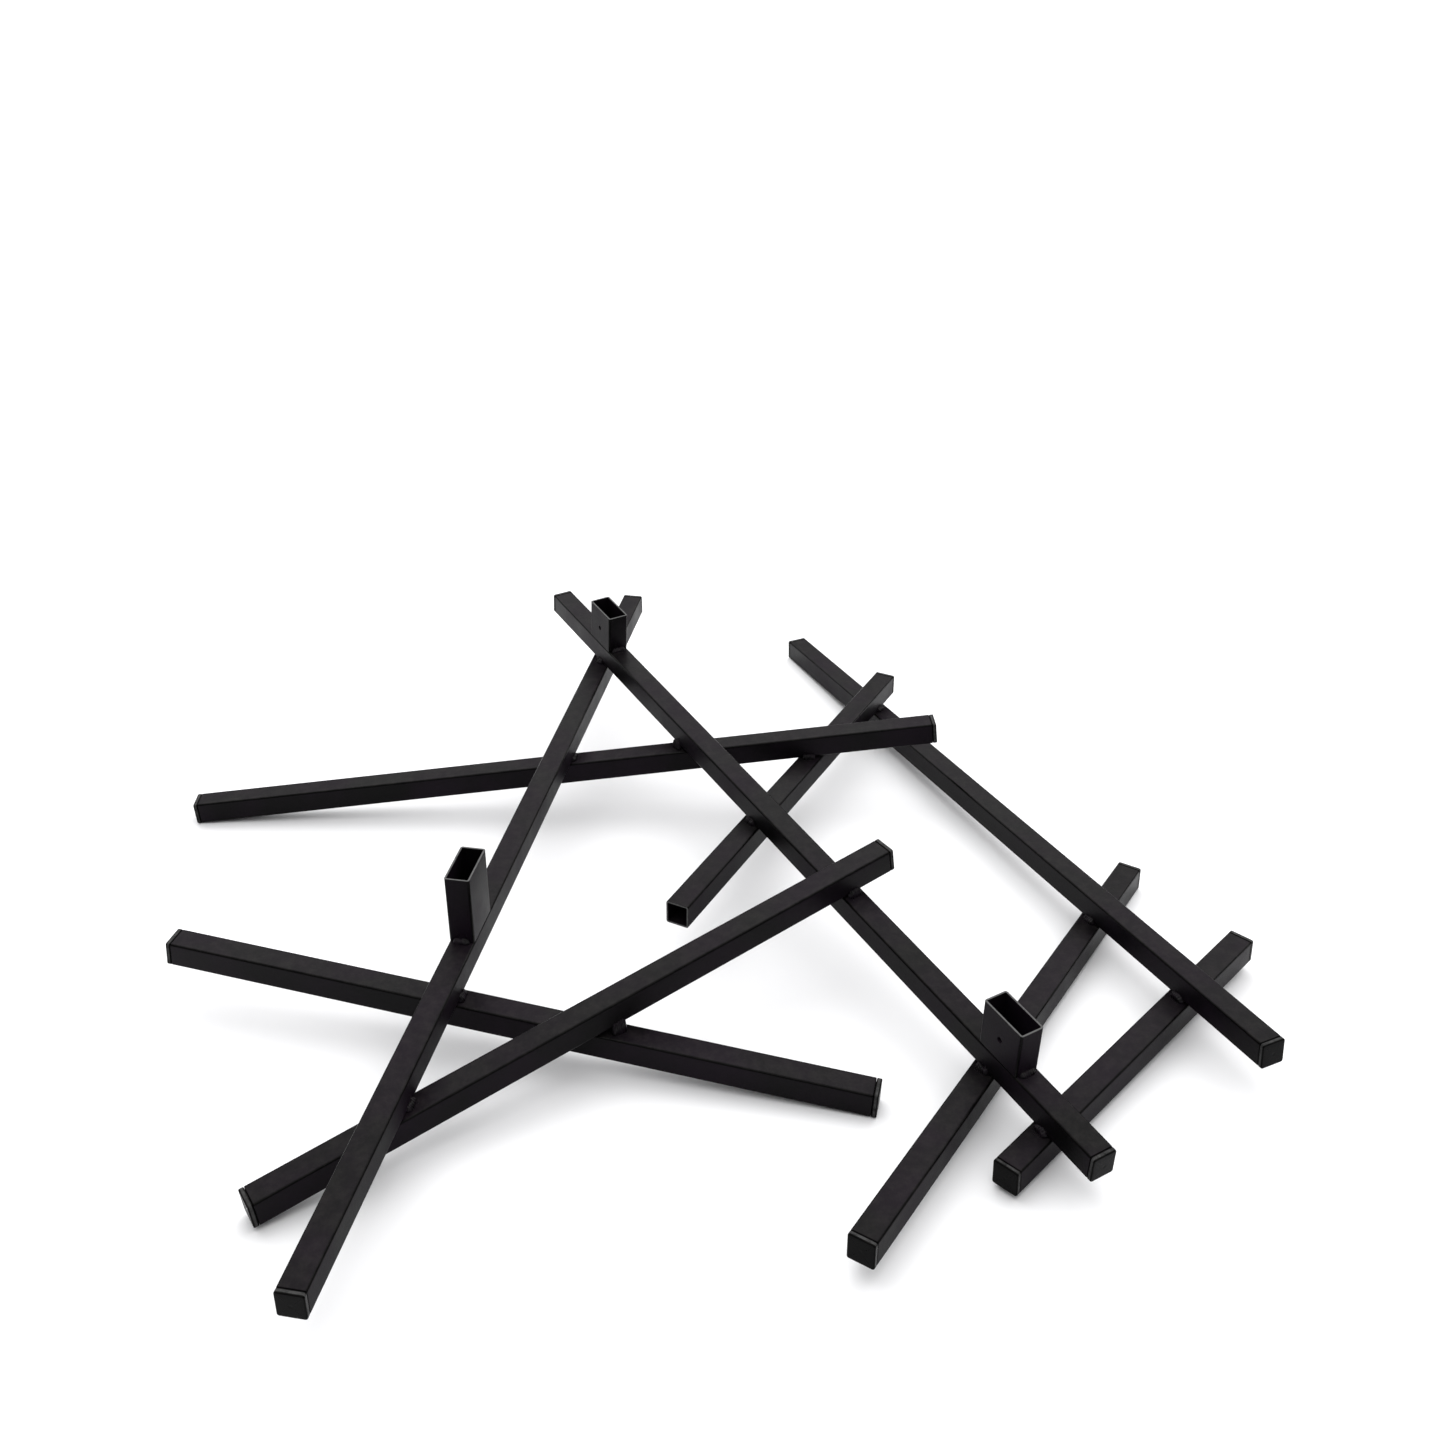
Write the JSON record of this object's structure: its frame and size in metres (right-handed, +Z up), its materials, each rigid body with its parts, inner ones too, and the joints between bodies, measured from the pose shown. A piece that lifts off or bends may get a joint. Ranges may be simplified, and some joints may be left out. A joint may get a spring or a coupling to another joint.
{
  "type": "firewood log rack",
  "caption": "Low floor base of a firewood rack: square steel tubes crossed like fallen sticks and welded, with capped ends and short open sockets for uprights.",
  "frame": {"origin": "on the floor, under the middle of the base's outline", "axes": "+Z up; -Y is the front, the side from which the screw holes of two sockets are seen; +X to the right of a person at the front"},
  "size_m": [1.1324, 1.1084, 0.1716],
  "materials": {
    "powder_coat": "matt black powder coat on steel",
    "weld": "weld bead under matt black powder coat",
    "end_cap": "moulded black plastic"
  },
  "bodies": {
    "root": {"spine_tube": "powder_coat", "spine_tube_rear_cap": "end_cap", "spine_tube_front_cap": "end_cap", "rear_socket": "powder_coat", "rear_socket_back_weld": "weld", "rear_socket_front_weld": "weld", "front_socket": "powder_coat", "front_socket_back_weld": "weld", "front_socket_front_weld": "weld", "weld_spine_on_left": "weld", "weld_spine_on_rear": "weld", "weld_spine_on_inner": "weld", "weld_spine_on_prop": "weld", "weld_spine_on_short": "weld", "left_tube": "powder_coat", "left_tube_rear_cap": "end_cap", "left_tube_front_cap": "end_cap", "left_socket": "powder_coat", "left_socket_back_weld": "weld", "left_socket_front_weld": "weld", "weld_left_on_rear": "weld", "weld_left_on_low": "weld", "weld_left_on_front": "weld", "rear_tube": "powder_coat", "rear_tube_left_cap": "end_cap", "rear_tube_right_cap": "end_cap", "weld_rear_on_inner": "weld", "low_tube": "powder_coat", "low_tube_left_cap": "end_cap", "low_tube_right_cap": "end_cap", "front_tube": "powder_coat", "front_tube_left_cap": "end_cap", "front_tube_right_cap": "end_cap", "weld_front_on_spine": "weld", "weld_front_on_low": "weld", "right_tube": "powder_coat", "right_tube_rear_cap": "end_cap", "right_tube_front_cap": "end_cap", "weld_right_on_prop": "weld", "weld_right_on_short": "weld", "inner_tube": "powder_coat", "inner_tube_rear_cap": "end_cap", "weld_inner_on_right": "weld", "prop_tube": "powder_coat", "prop_tube_rear_cap": "end_cap", "prop_tube_front_cap": "end_cap", "short_tube": "powder_coat", "short_tube_rear_cap": "end_cap", "short_tube_front_cap": "end_cap"}
  },
  "joints": []
}
